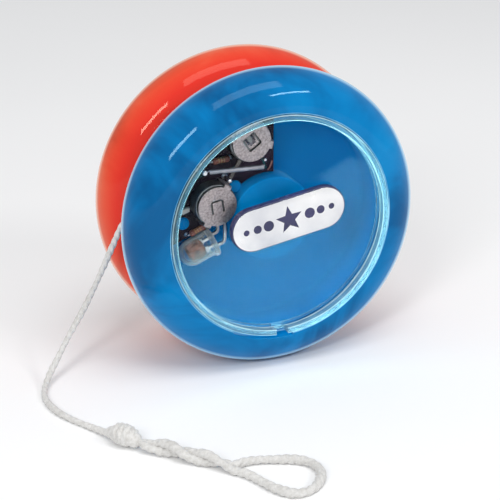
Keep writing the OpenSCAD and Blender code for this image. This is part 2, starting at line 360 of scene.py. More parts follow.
def plate(loops, low, high, bevel=0.0):
    """A flat piece with rounded edges. The first loop is its outline and the others are holes, in (x, y)."""
    curve = bpy.data.curves.new("outline", "CURVE")
    curve.dimensions = "2D"
    curve.fill_mode = "BOTH"
    curve.extrude = (high - low) / 2 - bevel
    curve.bevel_depth = bevel
    curve.offset = -bevel
    curve.bevel_resolution = 2
    for loop in loops:
        line = curve.splines.new("POLY")
        line.points.add(len(loop) - 1)
        for point, (x, y) in zip(line.points, loop):
            point.co = (x, y, 0, 1)
        line.use_cyclic_u = True
    holder = add_object("outline", curve)
    bpy.context.view_layer.update()
    mesh = bpy.data.meshes.new_from_object(holder)
    bpy.data.objects.remove(holder)
    bpy.data.curves.remove(curve)
    mesh.transform(Matrix.Translation((0, 0, (low + high) / 2)))
    tidy(mesh)
    return mesh


def block(size, centre, bevel):
    """A box with rounded edges."""
    work = bmesh.new()
    bmesh.ops.create_cube(work, size=1, matrix=Matrix.Translation(centre) @ Matrix.Diagonal((*size, 1)))
    bmesh.ops.bevel(work, geom=work.edges, offset=bevel, segments=2, affect="EDGES", profile=0.5)
    mesh = bpy.data.meshes.new("piece")
    work.to_mesh(mesh)
    work.free()
    return mesh


def moved(mesh, place=(0, 0, 0), turn=0.0):
    """The mesh turned about the s axis and moved, in place."""
    mesh.transform(Matrix.Translation(place) @ Matrix.Rotation(turn, 4, "Z"))
    return mesh


def joined(parts):
    """One mesh from (mesh, material) pairs, with a material slot for each different material."""
    work = bmesh.new()
    out = bpy.data.meshes.new("piece")
    materials = list(dict.fromkeys(material for _, material in parts))
    for material in materials:
        out.materials.append(material)
    for mesh, material in parts:
        first = len(work.faces)
        work.from_mesh(mesh)
        work.faces.ensure_lookup_table()
        for face in work.faces[first:]:
            face.material_index = materials.index(material)
        bpy.data.meshes.remove(mesh)
    work.to_mesh(out)
    work.free()
    shade(out)
    return out


STAND_UP = {
    "front": Matrix.Rotation(math.pi / 2, 4, "X"),
    "rear": Matrix.Rotation(math.pi, 4, "Z") @ Matrix.Rotation(math.pi / 2, 4, "X"),
}


def place(mesh, name, side, body, slot):
    """Stands a half's piece up on its side, in place of the CAD node of the same name."""
    mesh.transform(Matrix.Scale(MM, 4) @ STAND_UP[side])
    obj = add_object(f"{side}_{name}_look", mesh)
    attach(obj, body)
    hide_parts(f"{side}_{name}")
    return obj


# ---- materials


class Nodes:
    """A material's node tree, with short ways to add to it."""

    def __init__(self, name):
        self.material = bpy.data.materials.new(name)
        self.material.use_nodes = True
        self.tree = self.material.node_tree
        self.tree.nodes.clear()
        self.output = self.tree.nodes.new("ShaderNodeOutputMaterial")

    def add(self, kind, **values):
        """A node with its inputs and settings. A socket is linked, and anything else is a value."""
        node = self.tree.nodes.new(kind)
        for key, value in values.items():
            socket = node.inputs.get(key.replace("_", " "))
            if socket is None:
                setattr(node, key, value)
            elif isinstance(value, bpy.types.NodeSocket):
                self.tree.links.new(value, socket)
            else:
                socket.default_value = value
        return node

    def place(self):
        return self.add("ShaderNodeTexCoord").outputs["Object"]

    def noise(self, scale, detail=3.0, roughness=0.5, distortion=0.0):
        texture = self.add("ShaderNodeTexNoise", Vector=self.place(), Scale=scale, Detail=detail)
        texture.inputs["Roughness"].default_value = roughness
        texture.inputs["Distortion"].default_value = distortion
        return texture.outputs["Fac"]

    def ramp(self, factor, *stops):
        """A colour ramp with stops of (position, colour)."""
        node = self.add("ShaderNodeValToRGB", Fac=factor)
        elements = node.color_ramp.elements
        while len(elements) < len(stops):
            elements.new(0.5)
        for element, (position, colour) in zip(elements, stops):
            element.position = position
            element.color = (*colour, 1)
        return node.outputs["Color"]

    def spread(self, value, low, high, first=0.3, last=0.7):
        """A value from first to last (most of a noise) brought to the range from low to high."""
        node = self.add("ShaderNodeMapRange", Value=value, From_Min=first, From_Max=last)
        node.inputs["To Min"].default_value = low
        node.inputs["To Max"].default_value = high
        return node.outputs["Result"]

    def blend(self, share, first, second, blend_type="MIX"):
        """A mix of two colours, each a socket or a plain colour."""
        node = self.add("ShaderNodeMix", data_type="RGBA", blend_type=blend_type)
        for socket, value in zip((node.inputs[0], node.inputs[6], node.inputs[7]), (share, first, second)):
            if isinstance(value, bpy.types.NodeSocket):
                self.tree.links.new(value, socket)
            else:
                socket.default_value = (*value, 1) if isinstance(value, tuple) else value
        return node.outputs[2]

    def bump(self, height, strength, distance):
        node = self.add("ShaderNodeBump", Height=height, Strength=strength, Distance=distance)
        return node.outputs["Normal"]

    def surface(self, shader):
        """The finished material, with this shader node as its surface."""
        self.tree.links.new(shader.outputs[0], self.output.inputs["Surface"])
        return self.material

    def principled(self, **values):
        return self.surface(self.add("ShaderNodeBsdfPrincipled", **values))


def tinted_plastic(name, deep, mid, light, rim, core, sheen, gloss=0.26):
    """Clear coloured plastic with flow marks, a stronger colour near the gap and a painted highlight: the
    base colour turns pale where the surface is seen edge on.
    """
    core_to, skin_from = 0.003, 0.009
    n = Nodes(name)
    colour = n.ramp(n.noise(45, 4, 0.55, 0.8), (0.34, deep), (0.5, mid), (0.7, light))
    across = n.add("ShaderNodeSeparateXYZ", Vector=n.place()).outputs["Y"]
    off_gap = n.add("ShaderNodeMath", operation="ABSOLUTE", Value=across).outputs[0]
    body = n.blend(n.spread(off_gap, 0, 1, core_to, skin_from), core, colour)
    # Painted highlight: towards grazing angles the base colour is mixed with the pale rim colour, a thin
    # light line along the outline.
    turned = n.add("ShaderNodeLayerWeight", Blend=0.5).outputs["Facing"]
    edge = n.ramp(turned, (0.62, (0, 0, 0)), (0.8, (1, 1, 1)))
    return n.principled(
        Base_Color=n.blend(edge, body, rim),
        Roughness=n.spread(n.noise(120, 2), 0.03, 0.09),
        Normal=n.bump(n.noise(35, 1), 0.2, 0.0003),
        IOR=1.5,
        Specular_IOR_Level=gloss,
        Specular_Tint=(*sheen, 1),
    )


def see_through(n, through, solid, factor):
    """A mix of what is behind and of a surface's own look."""
    both = n.add("ShaderNodeMixShader", Fac=factor)
    n.tree.links.new(through.outputs[0], both.inputs[1])
    n.tree.links.new(solid.outputs[0], both.inputs[2])
    return n.surface(both)


def clear_plastic():
    """The clear window: seen straight through, with a polished face and faint hazing."""
    n = Nodes("clear_plastic")
    through = n.add("ShaderNodeBsdfTransparent", Color=(0.98, 0.99, 1, 1))
    rough = n.spread(n.noise(300, 2), 0.01, 0.05)
    gloss = n.add("ShaderNodeBsdfGlossy", Roughness=rough, Color=(0.85, 0.95, 1, 1))
    shine = n.add("ShaderNodeFresnel", IOR=1.12)
    return see_through(n, through, gloss, shine.outputs["Fac"])


def thick_clear(name, tint, pale, bright, faint, full):
    """Thick clear plastic: tinted by what is behind it, with a painted pale highlight mixed in, strongest
    where it is seen edge on.
    """
    n = Nodes(name)
    through = n.add("ShaderNodeBsdfTransparent", Color=(*tint, 1))
    tone = n.ramp(n.noise(250), (0.35, pale), (0.65, bright))
    rough = n.spread(n.noise(400, 2), 0.05, 0.15)
    solid = n.add("ShaderNodeBsdfPrincipled", Base_Color=tone, Roughness=rough)
    # Painted highlight: the pale tone stands in for the bright edges of thick clear plastic, from faint where
    # it faces the view to full edge on.
    turned = n.add("ShaderNodeLayerWeight", Blend=0.5).outputs["Facing"]
    return see_through(n, through, solid, n.ramp(turned, (0.05, (faint,) * 3), (0.75, (full,) * 3)))


def plain_plastic(name, dark, light, rough, scale=180.0, grain=0.15, gloss=0.5):
    """An opaque moulded or lacquered surface with a mottled colour and fine grain."""
    n = Nodes(name)
    return n.principled(
        Base_Color=n.ramp(n.noise(scale, 4), (0.35, dark), (0.65, light)),
        Roughness=n.spread(n.noise(scale * 3), rough * 0.7, rough * 1.3),
        Normal=n.bump(n.noise(scale * 12, 2), grain, 0.0001),
        Specular_IOR_Level=gloss,
    )


def metal(name, dark, light, rough, scale=500.0, grain=0.3):
    """A plated or drawn metal with fine grain and slight tarnish."""
    n = Nodes(name)
    return n.principled(
        Base_Color=n.ramp(n.noise(scale, 5, 0.6), (0.35, dark), (0.65, light)),
        Roughness=n.spread(n.noise(scale * 2, 4), rough * 0.75, rough * 1.3),
        Normal=n.bump(n.noise(scale * 6), grain, 0.00005),
        Metallic=1,
    )


def cotton():
    """White cotton: soft, matt, with fine fibres."""
    n = Nodes("cotton")
    fibres = n.noise(1400, 5, 0.7)
    soil = n.noise(90)
    clean = n.ramp(soil, (0.3, (0.64, 0.63, 0.61)), (0.7, (0.78, 0.77, 0.75)))
    fibre_shade = n.ramp(fibres, (0.3, (0.78, 0.77, 0.75)), (0.6, (1, 1, 1)))
    return n.principled(
        Base_Color=n.blend(1.0, clean, fibre_shade, "MULTIPLY"),
        Roughness=n.spread(soil, 0.85, 0.95),
        Normal=n.bump(fibres, 0.5, 0.00015),
        Sheen_Weight=0.4,
        Sheen_Roughness=0.5,
    )


def pale_floor():
    """A matt studio floor."""
    n = Nodes("pale_floor")
    colour = n.ramp(n.noise(6, 2), (0.3, (0.93, 0.93, 0.93)), (0.7, (0.96, 0.96, 0.96)))
    return n.principled(Base_Color=colour, Roughness=0.9, Specular_IOR_Level=0.1)


# ---- string


def winding_route():
    """The wound string: two turns beside each other in each layer, then up to the next layer."""
    turns = 2 * WINDING_LAYERS
    top = WINDING_LAYERS - 1
    change = 1 / 3
    sides = [-1 if n % 4 in (0, 3) else 1 for n in range(turns)] + [0]
    points = []
    for i in range(turns * TURN_POINTS):
        turn, share = divmod(i / TURN_POINTS, 1)
        turn = int(turn)
        step = smooth((share - 1 + change) / change)
        shift = TURN_SHIFT * mix(sides[turn], sides[turn + 1], step)
        radius = WINDING_START_R + LAYER_STEP * mix(turn // 2, min((turn + 1) // 2, top), step)
        angle = LEAVE_ANGLE + math.tau * share
        points.append(Vector((radius * math.cos(angle), shift, radius * math.sin(angle))))
    return points


def strand_route(strand):
    """One strand of the doubled stretch, which turns about the other."""
    middle = spline(TWIST_ROUTE, ROUTE_STEP)
    last = len(middle) - 1
    out = []
    for i, point in enumerate(middle):
        ahead = (middle[min(i + 1, last)] - middle[max(i - 1, 0)]).normalized()
        apart = strand * along(TWIST_RADII, i / last) / 2
        out.append(point + beside(ahead, apart, TWIST_START + TWIST_TURN * i / last))
    return out


def strand_r(share):
    return 0.6 * along(TWIST_RADII, share) + 0.06


def string_route():
    """The string from the sleeve to its end inside the knot, with its radius at each point."""
    wound = winding_route()
    tail = spline(TAIL_ROUTE, ROUTE_STEP)
    core = spline(KNOT_ROUTE, ROUTE_STEP)
    first = strand_route(1)
    second = strand_route(-1)[::-1]
    loop = spline([first[-4], *LOOP_ROUTE, second[3]], ROUTE_STEP)
    stretches = [
        (wound, lambda t: STRING_R),
        (tail, lambda t: STRING_R * (1 + 0.08 * math.sin(40 * t))),
        (core[2:-2], lambda t: STRING_R),
        (first[2:-4], strand_r),
        (loop[1:-1], lambda t: LOOP_R + 0.06 * math.sin(29 * t) + 0.1 * math.sin(math.pi * t)),
        (second[4:-2], lambda t: strand_r(1 - t)),
        (core[-3:8:-1], lambda t: STRING_R),
    ]
    points, radii = [], []
    for stretch, radius in stretches:
        for i, point in enumerate(stretch):
            points.append(point)
            radii.append(radius(i / max(1, len(stretch) - 1)))
    return even_out(points, radii)


def softened(values):
    """A list with its bends rounded off and its ends kept."""
    inner = (0.25 * a + 0.5 * b + 0.25 * c for a, b, c in zip(values, values[1:], values[2:]))
    return [values[0], *inner, values[-1]]


def even_out(points, radii):
    """The same route with its corners and its changes of radius rounded off."""
    for _ in range(3):
        points = softened(points)
        radii = softened(radii)
    return points, radii


def ply_section(radius, plies, sides):
    """Outline of a laid string: round plies that meet in grooves."""
    centre, ply_r = 0.36 * radius, 0.64 * radius
    out = []
    for k in range(sides):
        angle = math.tau * k / sides
        off = (angle * plies / math.tau + 0.5) % 1 - 0.5
        off *= math.tau / plies
        r = centre * math.cos(off) + math.sqrt(ply_r**2 - (centre * math.sin(off)) ** 2)
        out.append((r * math.cos(angle), r * math.sin(angle)))
    return out


def lengths_along(points):
    """How far along the route each of its points is."""
    return list(accumulate(((b - a).length for a, b in zip(points, points[1:])), initial=0.0))


def make_string(cotton_look):
    points, radii = string_route()
    gone = lengths_along(points)
    wobble = [1 + 0.06 * noise.noise((g * 0.9, 3.1, 0)) for g in gone]
    mesh = tube(
        points,
        lambda i: ply_section(radii[i] * wobble[i], 3, 15),
        lambda i: math.tau * gone[i] / LAY_LENGTH,
    )
    knot = make_knot(cotton_look)
    mesh.transform(Matrix.Scale(MM, 4))
    mesh.materials.append(cotton_look)
    shade(mesh, 60)
    string = add_object("string", mesh)
    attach(string, "string")
    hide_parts("string_winding", "string_tail", "string_twist", "finger_loop")


def make_knot(cotton_look):
    """The knot: a spindle of string ends with the string wrapped round its middle."""
    middle = spline(KNOT_ROUTE, 0.2)
    last = len(middle) - 1

    def core_section(i):
        taper = mix(0.86, 0.3, smooth(8 * i / last - 7))
        return ply_section(along(KNOT_RADII, i / last) * taper, 7, 35)

    core = tube(middle, core_section, lambda i: 0.9 * i / last)
    wraps, start, end = 4.5, 0.3, 0.78
    count = 260
    fade = 30
    bury = 0.55
    helix = []
    for i in range(count):
        share = mix(start, end, i / (count - 1))
        place_at = share * last
        low = int(place_at)
        point = middle[low].lerp(middle[min(low + 1, last)], place_at - low)
        ahead = (middle[min(low + 2, last)] - middle[max(low - 2, 0)]).normalized()
        dip = bury * (smooth(i / fade) * smooth((count - 1 - i) / fade) - 1)
        radius = along(KNOT_RADII, share) - 0.5 + dip
        helix.append(point + beside(ahead, radius, math.tau * wraps * i / (count - 1) + 1.2))
    turns = lengths_along(helix)
    wrapped = tube(helix, lambda i: ply_section(0.62, 3, 12), lambda i: math.tau * turns[i] / LAY_LENGTH)
    mesh = joined([(core, cotton_look), (wrapped, cotton_look)])
    mesh.transform(Matrix.Scale(MM, 4))
    shade(mesh, 60)
    knot = add_object("string_knot_look", mesh)
    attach(knot, "string")
    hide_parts("string_knot")
    return knot


# ---- shell


def shell_profile(angle):
    """Section of a shell, from the middle of the hub round the bay and the rim to the axle's bore."""
    edge = 0.3
    seat = SEAT_R + NOTCH_DEPTH * (NOTCH_FROM <= angle <= NOTCH_TO)
    return [
        (0, HUB_TOP_S),
        (HUB_R - edge, HUB_TOP_S),
        *arc((HUB_R - edge, HUB_TOP_S - edge), edge, 70, 0, 3),
        *arc((HUB_R + 0.5, FLOOR_S + 0.5), 0.5, 180, 270, 5),
        *arc((BAY_R - 0.9, FLOOR_S + 0.9), 0.9, 270, 360, 8),
        *arc((BAY_R + 0.15, LEDGE_S - 0.15), 0.15, 180, 90, 3),
        (seat - 0.01, LEDGE_S),
        (SEAT_R, LIP_S - 1.6),
        (seat, LIP_S - 1.58),
        *arc((seat + 0.2, LIP_S - 0.2), 0.2, 180, 90, 4),
        *arc((RIM_R, RIM_S), EDGE_R, 87, -90, 56),
        (18, WALL_S),
        (10, WALL_S),
        *arc((SLEEVE_SEAT_R + 0.2, WALL_S + 0.2), 0.2, 270, 180, 3),
        (SLEEVE_SEAT_R, SLEEVE_SEAT_S),
        (AXLE_R, SLEEVE_SEAT_S),
        (AXLE_R, BORE_END_S),
        (0, BORE_END_S),
    ]


def peg():
    """A riveted peg that holds the board."""
    profile = [
        (0, FLOOR_S - 0.1),
        (1.9, FLOOR_S - 0.1),
        (1.7, FLOOR_S + 0.3),
        (1.7, BOARD_S),
        (0.9, BOARD_S),
        (0.9, BOARD_TOP_S + 0.02),
        (1.2, BOARD_TOP_S + 0.05),
        *arc((0.75, BOARD_TOP_S + 0.1), 0.45, 0, 80, 5),
        (0, BOARD_TOP_S + 0.62),
    ]
    return revolve(profile, 32)


def make_shell(side, material, brightened_bay_look, edge_highlight_look):
    """One half, with its pegs, its ribs in the gap and the cradle of its lamp."""
    rib_count = 12
    cuts = [edge + nudge for edge in (NOTCH_FROM, NOTCH_TO) for nudge in (0, NUDGE)]
    angles = sorted([360 * i / SHELL_STEPS for i in range(SHELL_STEPS)] + cuts)
    parts = [(revolve(shell_profile, SHELL_STEPS, angles), material)]
    for x, y in PEG_PLACES:
        parts.append((moved(peg(), (x, y, 0)), material))
    for i in range(rib_count):
        rib = block((7.5, 0.8, 0.4), (10.75, 0, WALL_S), 0.12)
        parts.append((moved(rib, turn=math.tau * i / rib_count), material))
    for hand in (-1, 1):
        wall = block((2.2, 0.7, 1.5), (-3.1, hand * (LAMP_R + 0.4), FLOOR_S + 0.6), 0.15)
        parts.append((moved(wall, (*LAMP_BASE, 0), LAMP_TURN), material))
    mesh = joined(parts)
    mesh.materials.append(brightened_bay_look)
    mesh.materials.append(edge_highlight_look)
    # Painted light: the bay and the gap take a brighter copy of the plastic, which makes up for the shade
    # that falls in them; the faces round the cap's seat take a painted highlight line.
    for face in mesh.polygons:
        r, s = face.center.xy.length, face.center.z
        in_bay = r < BAY_R + 0.3 and FLOOR_S - 0.2 < s < LEDGE_S - 0.1
        in_gap = r < RIM_R + 1 and s < WALL_S + 0.4
        if in_bay or in_gap:
            face.material_index = 1
        elif r < SEAT_R + 0.2 and s > LEDGE_S + 0.1:
            face.material_index = 2
    place(mesh, "shell", side, "spool", "blue_plastic" if side == "front" else "orange_plastic")


# ---- window cap and badge


def cap_profile(angle):
    """Section of the cap: a raised ring round a flat window, and no ring at the slot."""
    edge = 0.2
    inner = CAP_R - RING_W
    if abs(angle - 270) < HALF_SLOT:
        cut = CAP_R - RING_W / 2
        outer = [(cut, WINDOW_LOW_S)] * 9 + [(cut, WINDOW_TOP_S)] * 9
    else:
        outer = [
            (inner, WINDOW_LOW_S),
            (inner, LEDGE_S + 0.1),
            (inner + 0.1, LEDGE_S),
            (CAP_R - 0.1, LEDGE_S),
            (CAP_R, LEDGE_S + 0.1),
            *arc((CAP_R - edge, RING_TOP_S - edge), edge, 0, 90, 4),
            *arc((inner + edge, RING_TOP_S - edge), edge, 90, 180, 4),
            (inner, WINDOW_TOP_S + 0.15),
            (inner - 0.05, WINDOW_TOP_S + 0.04),
            (inner - 0.15, WINDOW_TOP_S),
        ]
    flat = inner - 0.3
    low = [(0, WINDOW_LOW_S), (10, WINDOW_LOW_S), (flat, WINDOW_LOW_S)]
    top = [(flat, WINDOW_TOP_S), (10, WINDOW_TOP_S), (0, WINDOW_TOP_S)]
    return [*low, *outer, *top]


def make_cap(side, material, ring_look, edge_highlight_look):
    """The window cap, with a pale look painted on its ring and a brighter painted highlight on the ring's
    slanted edges.
    """
    cuts = [270 + hand * HALF_SLOT + nudge for hand in (-1, 1) for nudge in (-NUDGE, NUDGE)]
    angles = sorted([360 * i / CAP_STEPS for i in range(CAP_STEPS)] + cuts)
    mesh = joined([(revolve(cap_profile, CAP_STEPS, angles), material)])
    mesh.materials.append(ring_look)
    mesh.materials.append(edge_highlight_look)
    # Painted highlight: the ring's faces take the ring look, and its slanted faces a brighter one.
    for face in mesh.polygons:
        if face.center.xy.length > CAP_R - RING_W - 0.1:
            slanted = 0.1 < abs(face.normal.z) < 0.97
            face.material_index = 2 if slanted else 1
    cap = place(mesh, "cap", side, f"{side}_window", "clear_plastic")
    cap.visible_shadow = False
    return cap


def pill(length, height, count=20):
    r = height / 2
    half = length / 2 - r
    return [*arc((half, 0), r, -90, 90, count), *arc((-half, 0), r, 90, 270, count)]


def star(points, outer, inner):
    out = []
    for i in range(2 * points):
        out.append(polar((0, 0), inner if i % 2 else outer, math.pi / 2 + math.pi * i / points))
    return out


def make_badge(side, pad_look, foil_look):
    """The pad and its foil, with a star between dots cut out of the foil."""
    pad = plate([pill(BADGE_L, BADGE_H)], WINDOW_TOP_S, PAD_TOP_S, 0.2)
    moved(pad, (*BADGE_AT, 0), BADGE_TURN)
    place(joined([(pad, pad_look)]), "badge_pad", side, f"{side}_window", "dark_plastic")
    loops = [pill(BADGE_L - 0.5, BADGE_H - 0.5), star(5, 2.7, 1.15)]
    for hand in (-1, 1):
        for i in range(3):
            loops.append(circle(1 - 0.22 * i, 32, (hand * (4.1 + 2.2 * i), 0)))
    foil = plate(loops, PAD_TOP_S, FOIL_TOP_S, 0.03)
    moved(foil, (*BADGE_AT, 0), BADGE_TURN)
    place(joined([(foil, foil_look)]), "badge_foil", side, f"{side}_window", "silver_foil")


# ---- circuit


def board_edge(x):
    """Height of the board's lower edge at a given x."""
    return -0.8 + math.tan(LAMP_TURN) * (x + 12)


def edge_turn(radius):
    """Direction, in degrees, of the place where the board's lower edge meets a circle."""
    slope = math.tan(LAMP_TURN)
    rise = board_edge(0)
    x = (-slope * rise - math.sqrt(radius**2 * (1 + slope**2) - rise**2)) / (1 + slope**2)
    return math.degrees(math.atan2(board_edge(x), x)) % 360


def board_outline():
    """A quarter ring with a straight right side and a slanted lower edge."""
    outer_r, inner_r = BAY_R - 0.2, HUB_R + 0.2
    outer_top = math.degrees(math.acos(BOARD_CUT_X / outer_r))
    inner_top = math.degrees(math.acos(BOARD_CUT_X / inner_r))
    outer = arc((0, 0), outer_r, outer_top, edge_turn(outer_r), 48)
    inner = arc((0, 0), inner_r, edge_turn(inner_r), inner_top, 30)
    return outer + inner


def solder(x, y, radius, height):
    """A small solder joint."""
    profile = [(0, 0), (radius, 0), (radius * 0.8, height * 0.35), (radius * 0.45, height * 0.8), (0, height)]
    return moved(revolve(profile, 16), (x, y, BOARD_TOP_S))


def trace(points, width):
    """A raised copper line on the board, under its lacquer."""
    def section(i):
        return [(-width / 2, 0), (-width / 2, 0.04), (width / 2, 0.04), (width / 2, 0)]

    line = [Vector((x, y, 0)) for x, y in points]
    mesh = tube(line, section)
    return moved(mesh, (0, 0, BOARD_TOP_S))


def make_board(side, material, trace_look, copper_look, solder_look, chip_look):
    """The board with its lines, its chip and its solder joints."""
    holes = [circle(PEG_HOLE_R, 32, place_at) for place_at in PEG_PLACES]
    parts = [(plate([board_outline(), *holes], BOARD_S, BOARD_TOP_S, 0.05), material)]
    routes = [
        arc(CELL_LOWER_AT, 5.0, 95, 205, 24),
        arc(CELL_LOWER_AT, 5.5, 100, 190, 24),
        [(-0.2, 9.0), (-0.8, 10.6), CONTACT_PIN],
        [SPRING_ANCHOR, (-14.6, 9.8), (-15.6, 8.6)],
        [REST_PIN, (-7.3, 9.6), (-5.9, 10.4)],
    ]
    for route in routes:
        parts.append((trace(route, 0.35), trace_look))
    parts.append((trace([(1, 10.3), (0.6, 9.2), (0.1, 8.6)], 0.3), copper_look))
    chip_turn = math.radians(20)
    chip = moved(block((1.5, 0.9, 0.6), (0, 0, BOARD_TOP_S + 0.32), 0.1), (*CHIP_AT, 0), chip_turn)
    parts.append((chip, chip_look))
    for hand in (-1, 1):
        parts.append((solder(*polar(CHIP_AT, hand * 0.85, chip_turn), 0.35, 0.45), solder_look))
    pads = [(*SPRING_ANCHOR, 0.95), (*REST_PIN, 0.6), (*CONTACT_PIN, 0.75), (-1.0, 9.4, 0.4)]
    for x, y, r in pads:
        parts.append((solder(x, y, r, 0.5), solder_look))
    for x, y, turn in RESISTOR_PLACES:
        for hand in (-1, 1):
            joint = polar((x, y), hand * (RESISTOR_L / 2 + 0.5), turn)
            parts.append((solder(*joint, 0.45, 0.4), solder_look))
    place(joined(parts), "board", side, "spool", "board")


def make_cell(side, name, at, material):
    """A button cell: a can with a rolled edge and a raised cap on top."""
    height = CELL_TOP_S - CELL_S
    profile = [
        (0, 0),
        *arc((CELL_R - 0.3, 0.3), 0.3, 270, 360, 5),
        *arc((CELL_R - 0.25, height - 0.75), 0.25, 0, 90, 5),
        (3.5, height - 0.55),
        (3.35, height - 0.6),
        *arc((3.0, height - 0.5), 0.25, 0, 90, 5),
        (0, height - 0.25),
    ]
    mesh = joined([(moved(revolve(profile, 64), (*at, CELL_S)), material)])
    place(mesh, name, side, "spool", "cell_steel")


def clip_outline():
    """Outline of a contact clip: a disc with two ears where its legs bend down."""
    ear, half = CELL_R + 0.2, LEG_W / 2
    join = math.degrees(math.asin(half / CLIP_R))
    out = []
    for start in (0, 180):
        rise = math.radians(start)
        c, s = math.cos(rise), math.sin(rise)
        for y in (-half, half):
            out.append((ear * c - y * s, ear * s + y * c))
        out += arc((0, 0), CLIP_R, start + join, start + 180 - join, 30)
    return out


def rounded_square(half, corner, count=5):
    places = [(1, -1, -90), (1, 1, 0), (-1, 1, 90), (-1, -1, 180)]
    out = []
    for x, y, start in places:
        out += arc((x * (half - corner), y * (half - corner)), corner, start, start + 90, count)
    return out


def tongue(half, depth):
    """A square tongue, folded down along its middle into a wedge and hinged at its far side."""
    cells = 10
    thickness = 0.2
    verts, faces = [], []
    for layer in (0, 1):
        for j in range(cells + 1):
            for i in range(cells + 1):
                x = mix(-half, half, i / cells)
                y = mix(-half, half, j / cells)
                fold = 1 - abs(x) / half
                back = 1 - j / cells
                s = -depth * fold * smooth(1.2 - back) - 0.25 * depth * back * (1 - fold)
                verts.append((x, y, s - layer * thickness))
    row = cells + 1
    size = row * row
    for j in range(cells):
        for i in range(cells):
            a = j * row + i
            faces.append((a, a + 1, a + row + 1, a + row))
            faces.append((a + size, a + size + row, a + size + row + 1, a + size + 1))
    border = [*range(row), *range(2 * row - 1, size, row), *range(size - 2, size - row - 1, -1)]
    border += list(range(size - 2 * row, 0, -row))
    for a, b in zip(border, border[1:] + border[:1]):
        faces.append((a, a + size, b + size, b))
    mesh = new_mesh(verts, faces)
    tidy(mesh)
    return mesh


def clip_leg():
    """A leg that bends over the side of the cell and stands on the board."""
    out, t = CELL_R + 0.15, CLIP_T
    line = [
        (out - 0.5, CLIP_TOP_S - t / 2),
        (out - 0.15, CLIP_TOP_S - t / 2),
        (out + 0.05, CLIP_TOP_S - t / 2 - 0.07),
        (out + t / 2, CLIP_TOP_S - 0.4),
        (out + t / 2, BOARD_TOP_S + 0.02),
    ]
    points = spline([(x, 0, s) for x, s in line], 0.15)
    half = LEG_W / 2
    return tube(points, lambda i: [(-half, -t / 2), (-half, t / 2), (half, t / 2), (half, -t / 2)])


def arch_slit(half, corner, width):
    """Outline of a slit like an upturned U, which leaves a tongue that is still joined at its foot."""
    def leg(inset):
        r = corner - inset
        side = half - inset
        right = arc((half - corner, half - corner), r, 0, 90, 5)
        left = arc((corner - half, half - corner), r, 90, 180, 5)
        return [(side, -half), *right, *left, (-side, -half)]

    return leg(0) + leg(width)[::-1]


def make_clip(side, name, at, turn, tongue_turn, folded, material, painted_shade_look):
    """A contact clip: a disc with a cut tongue in its middle, and two legs down to the board."""
    turn = math.radians(turn)
    slot_turn = math.radians(tongue_turn) - turn
    c, s = math.cos(slot_turn), math.sin(slot_turn)
    cut = rounded_square(1.4, 0.35) if folded else arch_slit(1.25, 0.6, 0.36)
    hole = [(x * c - y * s, x * s + y * c) for x, y in cut]
    parts = [(plate([clip_outline(), hole], CELL_TOP_S, CLIP_TOP_S, 0.06), material)]
    if folded:
        parts.append((moved(tongue(1.02, 0.8), (0, 0, CLIP_TOP_S - 0.02), slot_turn), material))
    for start in (0, math.pi):
        parts.append((moved(clip_leg(), turn=start), material))
    mesh = joined(parts)
    mesh.materials.append(painted_shade_look)
    # Painted shade: faces near the middle below the top of the disc, mostly the folded tongue, take the dark
    # nickel, for the shade in the fold.
    for face in mesh.polygons:
        if face.center.xy.length < 1.4 and face.center.z < CLIP_TOP_S - 0.26:
            face.material_index = len(mesh.materials) - 1
    moved(mesh, (*at, 0), turn)
    place(mesh, name, side, "spool", "clip_nickel")


def make_spring(side, material):
    """The spin switch: a fine coil spring held at one end."""
    wire_r, coil_r, pitch, leader = 0.1, 0.34, 0.205, 0.6
    start = Vector((SPRING_ANCHOR[0] + 0.4, SPRING_ANCHOR[1], SPRING_S))
    end = Vector((*SPRING_TIP, SPRING_S))
    run = end - start
    ahead = run.normalized()
    turns = (run.length - leader) / pitch
    per_turn = 12
    points = [start]
    for i in range(int(turns * per_turn)):
        centre = start + ahead * (leader + pitch * i / per_turn)
        points.append(centre + beside(ahead, coil_r, math.tau * i / per_turn))
    mesh = joined([(tube(points, lambda i: circle(wire_r, 6)), material)])
    place(mesh, "switch_spring", side, f"{side}_switch", "spring_steel")


def pin(at, radius, top):
    """A round pin on the board, narrower and rounded at its top."""
    half = radius / 2
    profile = [(0, BOARD_TOP_S), (radius, BOARD_TOP_S), *arc((half, top - half), half, 0, 90, 5), (0, top)]
    return moved(revolve(profile, 24), (*at, 0))


def bead(at, radius, height):
    profile = arc((0, height), radius, -90, 90, 14)
    profile[0], profile[-1] = (0, height - radius), (0, height + radius)
    return moved(revolve(profile, 28), (*at, 0))


def make_pins(side, material):
    top = SPRING_S + 0.45
    parts = [
        (pin(SPRING_ANCHOR, 0.5, top), material),
        (pin(REST_PIN, 0.3, SPRING_S - 1), material),
        (bead(REST_PIN, 0.5, SPRING_S - 1), material),
        (pin(CONTACT_PIN, 0.3, top), material),
    ]
    place(joined(parts), "switch_pins", side, "spool", "spring_steel")


